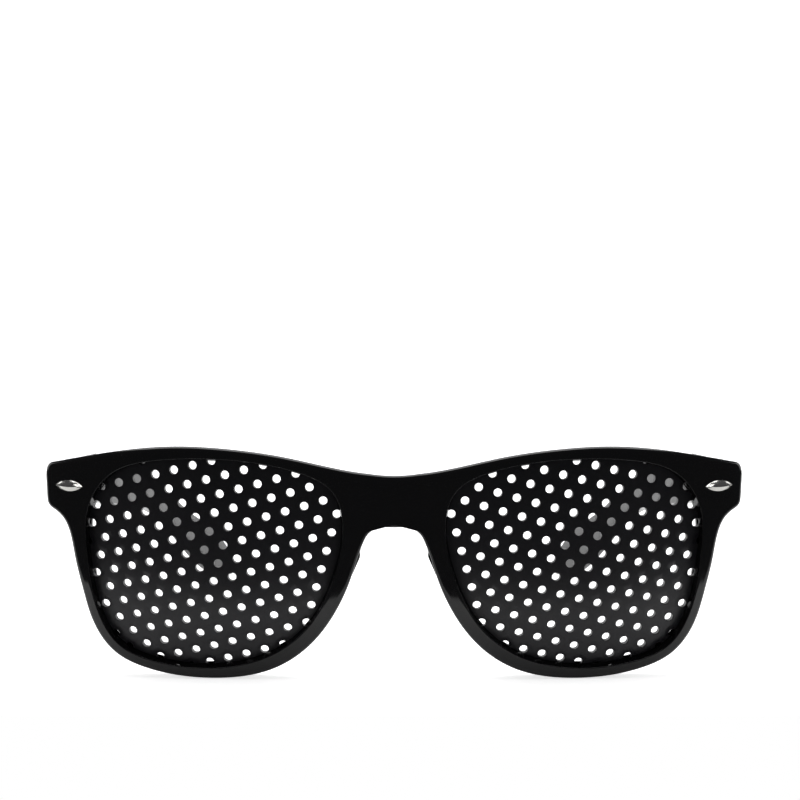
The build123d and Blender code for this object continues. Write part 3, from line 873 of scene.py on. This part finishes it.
fade = waist_fade*(temple_root_height - temple_waist_height)
swell = tip_swell*(temple_tip_height - temple_waist_height)
heights = [temple_root_height, temple_root_height, temple_waist_height + fade, temple_waist_height,
           temple_waist_height + swell, temple_tip_height]
temple_start = butt_level + butt_gap
upper, lower = [], []
for share, height in zip(station_shares, heights):
    spot, way = temple_line(share)
    up = np.array((-way[1], way[0]))
    upper.append(spot + up*height/2)
    lower.append(spot - up*height/2)
upper[0] = np.array((temple_start, hinge_z + temple_root_height/2 - root_top_drop))
lower[0] = np.array((temple_start, hinge_z - temple_root_height/2))
tip, way = temple_line(1)
top_line = smooth_line(upper, temple_steps, (1, 0), way)
bottom_line = smooth_line(lower, temple_steps, (1, 0), way)
cap = smooth_line([top_line[-1], tip, bottom_line[-1]], cap_steps, way, -way)
top_line += cap[1:cap_steps//2]
bottom_line += cap[:cap_steps//2:-1]
print("points on the top and bottom lines:", len(top_line), len(bottom_line))

# %% [markdown]
# The sections between the two lines are rounded oblongs. They change all the way, so a grid whose
# rows are set one behind the other fits better than a bevelled curve. Both faces bow in on an arc
# behind the hinge leaf, and near the tip the section is pinched, which rounds the paddle's end.

# %% Temple sections
temple_edge = 0.7*mm
temple_straight = hinge_y + temple_leaf_length + 2*mm      # the bow starts just behind the leaf
temple_end = hinge_y + temple_length
outer_bow, inner_bow = tip_splay, tip_splay + temple_tip_thickness - temple_thickness


def bowed(start_x, bow, y):
    """X of a temple face: straight at first, then on an arc that bows in."""
    length = temple_end - temple_straight
    radius = (bow**2 + length**2)/(2*bow)
    return start_x - (radius - sqrt(radius**2 - max(y - temple_straight, 0)**2))


def temple_section(top, bottom):
    """A rounded oblong between the top and bottom lines and the two bowed faces."""
    middle = (top + bottom)/2
    up = (top - bottom)/np.linalg.norm(top - bottom)
    tall = np.linalg.norm(top - bottom)/2
    left = max(np.dot(tip - middle, way), 0)
    pinch = temple_edge - sqrt(temple_edge**2 - (temple_edge - min(left, temple_edge))**2)
    radius = min(temple_edge, tall*0.98)
    row = []
    for side_x, side_z, first in ((1, 1, 0), (-1, 1, 90), (-1, -1, 180), (1, -1, 270)):
        for k in range(5):
            a = radians(first + 22.5*k)
            z = side_z*(tall - radius) + radius*sin(a)
            y, level = middle + up*z
            outer = bowed(temple_outer, outer_bow, y) - pinch
            inner = bowed(temple_inner, inner_bow, y) + pinch
            rim = (outer if side_x > 0 else inner) - side_x*min(radius, (outer - inner)/2)
            row.append((rim + min(radius, (outer - inner)/2)*cos(a), y, level))
        if first in (90, 270):
            for share in (0.25, 0.5, 0.75):
                z = (1 - 2*share)*(tall - radius)*(1 if first == 90 else -1)
                y, level = middle + up*z
                wall = (bowed(temple_outer, outer_bow, y) - pinch if first == 270
                        else bowed(temple_inner, inner_bow, y) + pinch)
                row.append((wall, y, level))
    return row + row[:1]


sections = [temple_section(a, b) for a, b in zip(top_line, bottom_line)]
temple_left = grid_through("temple_bar_left", sections)
select_open_edges(temple_left)
bpy.ops.mesh.edge_face_add()
finish_outward()
pocket = box_piece("temple_pocket",
                   (temple_inner - overrun, temple_start - overrun, leaf_low - seat_gap),
                   (temple_inner + leaf_thickness + seat_gap,
                    hinge_y + temple_leaf_length + seat_gap, leaf_high + seat_gap))
combine(temple_left, pocket, "DIFFERENCE")
temple_right = mirrored_copy(temple_left, "temple_bar_right")
for side, piece in (("left", temple_left), ("right", temple_right)):
    settle(piece, temples_to_frame, smooth_moulding, "temple_" + side, "temple_" + side)
print("temple faces:", len(temple_left.data.polygons))

# %% [markdown]
# The hinges, their screws and pins and the rivet shields are small machined or pressed parts whose
# solids already have the right shape. A copy of each is merged, its flat faces are joined again,
# and a fine bevel breaks its edges: no real metal edge is quite sharp, and the bevel is what
# catches the light.

# %% Metal pieces from their solids
flat_angle, sharp_angle = 1, 32      # degrees: flatter faces join, sharper edges are bevelled


def dressed(node, body, width):
    """A merged copy of a CAD solid with finely bevelled edges."""
    solid = nodes[node]
    piece = bpy.data.objects.new(node + "_finished", solid.data.copy())
    bpy.context.collection.objects.link(piece)
    piece.data.materials.clear()
    edit(piece)
    bpy.ops.mesh.select_all(action="SELECT")
    bpy.ops.mesh.remove_doubles(threshold=weld/2)
    bpy.ops.mesh.select_all(action="SELECT")
    bpy.ops.mesh.dissolve_limited(angle_limit=radians(flat_angle))
    bpy.ops.object.mode_set(mode="OBJECT")
    modifier = piece.modifiers.new("broken edges", "BEVEL")
    modifier.width = width
    modifier.segments = 2
    modifier.limit_method = "ANGLE"
    modifier.angle_limit = radians(sharp_angle)
    apply_modifiers(piece)
    bpy.ops.object.shade_smooth_by_angle(angle=radians(smooth_metal))
    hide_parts(node)
    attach(piece, body)
    return piece


leaf_bevel, screw_bevel, pin_bevel, shield_bevel = 0.08*mm, 0.06*mm, 0.05*mm, 0.05*mm
steel_pieces, shield_pieces = [], []
for side in ("left", "right"):
    temple = "temple_" + side
    for name, body, width in (("front_hinge_", "front", leaf_bevel),
                              ("hinge_screw_", "front", screw_bevel),
                              ("temple_hinge_", temple, leaf_bevel),
                              ("temple_pin_front_", temple, pin_bevel),
                              ("temple_pin_rear_", temple, pin_bevel)):
        steel_pieces.append(dressed(name + side, body, width))
    shield_pieces.append(dressed("rivet_shield_" + side, "front", shield_bevel))
print("metal pieces:", len(steel_pieces) + len(shield_pieces))

# %% [markdown]
# Colours are read off as hex codes, which are sRGB, while shader sockets want linear values, so one
# function converts them. Every finish also needs a roughness that is not quite even, because one
# flat value looks like a computer picture. A noise texture gives it, on Object coordinates, so that
# the pattern is fixed to the piece and its scale follows from a real size.

# %% Colours and node helpers
def linear(code):
    """A #rrggbb colour as linear RGBA."""
    values = [int(code[k:k + 2], 16)/255 for k in (1, 3, 5)]
    return [v/12.92 if v <= 0.04045 else ((v + 0.055)/1.055)**2.4 for v in values] + [1]


def add_node(tree, kind, settings=None, inputs=None):
    """A node with its settings and its input values or links."""
    node = tree.nodes.new("ShaderNode" + kind)
    for key, value in (settings or {}).items():
        setattr(node, key, value)
    for key, value in (inputs or {}).items():
        if isinstance(value, bpy.types.NodeSocket):
            tree.links.new(value, node.inputs[key])
        else:
            node.inputs[key].default_value = value
    return node


def new_material(name, color, patch, detail, low, high):
    """A material whose roughness wanders from low to high over patches of a size."""
    material = bpy.data.materials.new(name)
    material.use_nodes = True
    tree = material.node_tree
    shader = tree.nodes["Principled BSDF"]
    place = add_node(tree, "TexCoord").outputs["Object"]
    patches = add_node(tree, "TexNoise", None,
                       {"Vector": place, "Scale": 1/patch, "Detail": detail})
    rough = add_node(tree, "MapRange", None,
                     {"Value": patches.outputs["Fac"], "From Min": 0.3, "From Max": 0.7,
                      "To Min": low, "To Max": high})
    shader.inputs["Base Color"].default_value = linear(color)
    tree.links.new(rough.outputs["Result"], shader.inputs["Roughness"])
    return material, tree, shader, place


def add_grain(tree, shader, place, size, detail, strength, distance):
    """Fine bumps of a size."""
    grain = add_node(tree, "TexNoise", None,
                     {"Vector": place, "Scale": 1/size, "Detail": detail})
    bump = add_node(tree, "Bump", None,
                    {"Height": grain.outputs["Fac"], "Strength": strength, "Distance": distance})
    tree.links.new(bump.outputs["Normal"], shader.inputs["Normal"])


print("gloss black as linear values:", [round(v, 4) for v in linear("#0e0e0f")])

# %% [markdown]
# The front and temples are black polycarbonate from a polished mould. It is glossy, with patches
# about 9 mm wide that hands have dulled, and a ripple of 1.6 mm bends the highlights a little.

# %% Gloss black moulded polycarbonate
polycarbonate_ior = 1.58
gloss_black, tree, shader, place = new_material("gloss_black_polycarbonate", "#0e0e0f",
                                                9*mm, 4, 0.07, 0.13)
add_grain(tree, shader, place, 1.6*mm, 2, 0.05, 0.02*mm)
shader.inputs["IOR"].default_value = polycarbonate_ior
print("nodes in the gloss black:", len(tree.nodes))

# %% [markdown]
# The lenses are the same plastic from a finely blasted mould. They look a little lighter, and the
# blast grain of 0.35 mm spreads their reflections to soft areas.

# %% Satin black moulded polycarbonate for the lenses
satin_black, tree, shader, place = new_material("satin_black_polycarbonate", "#2a292d",
                                                12*mm, 3, 0.34, 0.44)
add_grain(tree, shader, place, 0.35*mm, 3, 0.25, 0.03*mm)
shader.inputs["IOR"].default_value = polycarbonate_ior
print("nodes in the satin black:", len(tree.nodes))

# %% [markdown]
# The hinges, screws and pins are bright rolled steel, rubbed a little unevenly, and the shields
# are polished nickel silver. A metal keeps the shader's own IOR: its colour says how it mirrors.

# %% Bright steel and the polished shield
steel, tree, shader, place = new_material("bright_rolled_steel", "#c4c5c8", 0.5*mm, 4, 0.24, 0.38)
shader.inputs["Metallic"].default_value = 1
bright, tree, shader, place = new_material("polished_nickel_silver", "#d6d5d0",
                                           0.8*mm, 4, 0.12, 0.2)
shader.inputs["Metallic"].default_value = 1
print("materials:", len(bpy.data.materials))

# %% [markdown]
# Each piece gets one finish, in place of any it came with.

# %% Paint the pieces
def paint(piece, material):
    """Gives a piece its only material."""
    piece.data.materials.clear()
    piece.data.materials.append(material)


painted = [((front, temple_left, temple_right), gloss_black, "frame"),
           ((lens_left, lens_right), satin_black, "lens"),
           (steel_pieces, steel, "steel"), (shield_pieces, bright, "shield")]
for pieces, material, slot in painted:
    for piece in pieces:
        paint(piece, material)
print("pieces painted:", sum(len(pieces) for pieces, material, slot in painted))

# %% [markdown]
# The glasses stand on a sheet of white card that curves up behind them, as in a product picture.
# The card glows a little for the camera, so that it comes out white as in the photograph and still
# takes a soft shadow, and less in reflections, so that black plastic stays black. It ends just
# ahead of the glasses, and the room beyond is dim. The front leans forward, so its upper part
# mirrors the dim room and its lower part the card, with the card's edge between the two.

# %% White card
card_front, card_back, card_height, card_width = -97*mm, 900*mm, 900*mm, 1800*mm
card_curve, card_seen, card_mirrored = 250*mm, 0.75, 0.09
deselect()
bpy.ops.mesh.primitive_plane_add(size=card_width, location=(0, card_front + card_width/2, 0))
card = named("white_card")
bpy.ops.object.transform_apply(location=True)
for v in card.data.vertices:
    v.co.y = min(v.co.y, card_back)
bm = edit(card)
bpy.ops.mesh.select_mode(type="EDGE")
for e in bm.edges:
    e.select_set(all(v.co.y > card_back - mm for v in e.verts))
bmesh.update_edit_mesh(card.data)
bpy.ops.mesh.extrude_region_move(TRANSFORM_OT_translate={"value": (0, 0, card_height)})
bpy.ops.object.mode_set(mode="OBJECT")
bevel_edges(card, lambda e: all(v.co.y > card_back - mm and v.co.z < mm for v in e.verts),
            card_curve, 16)
bpy.ops.object.shade_smooth()
card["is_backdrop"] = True

card_paint = bpy.data.materials.new("matt_white_card")
card_paint.use_nodes = True
tree = card_paint.node_tree
shader = tree.nodes["Principled BSDF"]
shader.inputs["Base Color"].default_value = linear("#f2f2f2")
shader.inputs["Roughness"].default_value = 0.8
rays = add_node(tree, "LightPath")
glow = rays.outputs["Is Transmission Ray"]
for ray, share in (("Is Glossy Ray", card_mirrored), ("Is Camera Ray", card_seen)):
    part = add_node(tree, "Math", {"operation": "MULTIPLY"}, {0: rays.outputs[ray], 1: share})
    glow = add_node(tree, "Math", {"operation": "MAXIMUM"},
                    {0: glow, 1: part.outputs[0]}).outputs[0]
tree.links.new(glow, shader.inputs["Emission Strength"])
shader.inputs["Emission Color"].default_value = linear("#ffffff")
card.data.materials.append(card_paint)
print("card faces:", len(card.data.polygons))

# %% [markdown]
# The room is a dim grey for everything but the camera, which sees it white like the card. A large
# softbox overhead gives the soft light and shadow, and one at each side lights the temples and
# draws thin bright lines along the rounded edges.

# %% Room and lamps
scene = bpy.context.scene
scene.view_settings.view_transform = "Standard"
world = bpy.data.worlds.new("room")
scene.world = world
world.use_nodes = True
tree = world.node_tree
background = tree.nodes["Background"]
rays = add_node(tree, "LightPath")
shade = add_node(tree, "Mix", {"data_type": "RGBA"},
                 {"Factor": rays.outputs["Is Camera Ray"],
                  "A": linear("#48484a"), "B": linear("#ffffff")})
tree.links.new(shade.outputs["Result"], background.inputs["Color"])


def softbox(name, spot, aim, width, height, power):
    """A rectangular area lamp that faces a point."""
    data = bpy.data.lights.new(name, "AREA")
    data.shape, data.size, data.size_y, data.energy = "RECTANGLE", width, height, power
    lamp = bpy.data.objects.new(name, data)
    bpy.context.collection.objects.link(lamp)
    lamp.location = spot
    lamp.rotation_euler = (Vector(aim) - Vector(spot)).to_track_quat("-Z", "Y").to_euler()


softbox("overhead", (0, 0.15, 1.2), (0, 0, 0), 1.4, 1.2, 14)
for side, x in (("left_side", -1.2), ("right_side", 1.2)):
    softbox(side, (x, 0.1, 0.5), (0, 0, 0), 0.7, 0.9, 4)
print("lamps:", len(bpy.data.lights))

# %% [markdown]
# The camera looks straight from ahead, from a little above the glasses. Its place and focal length
# were fitted to where the holes of both lenses are in the photograph, and its small sideways shift
# puts the glasses as far from the picture's middle as they are there.

# %% Camera
camera_data = bpy.data.cameras.new("camera")
camera = bpy.data.objects.new("camera", camera_data)
bpy.context.collection.objects.link(camera)
scene.camera = camera
camera_data.lens, camera_data.sensor_width = 51.4, 36
camera_data.shift_x = 0.0074
camera.location = (0, -310*mm, 59.5*mm)
camera_dip = 0.18          # degrees below level
camera.rotation_euler = (radians(90 - camera_dip), 0, 0)
print("camera to lens crown in mm:", round((front_to_frame.translation.y - camera.location.y)/mm))

# %% [markdown]
# The dressed model must stay within the box of the solids, because the collision shapes and the
# object's size are theirs. Both boxes are printed.

# %% Print the size of both boxes
dressed_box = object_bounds()
for low_high, a, b in zip(("low", "high"), cad_box, dressed_box):
    print(low_high, [round(v/mm, 2) for v in a], [round(v/mm, 2) for v in b])
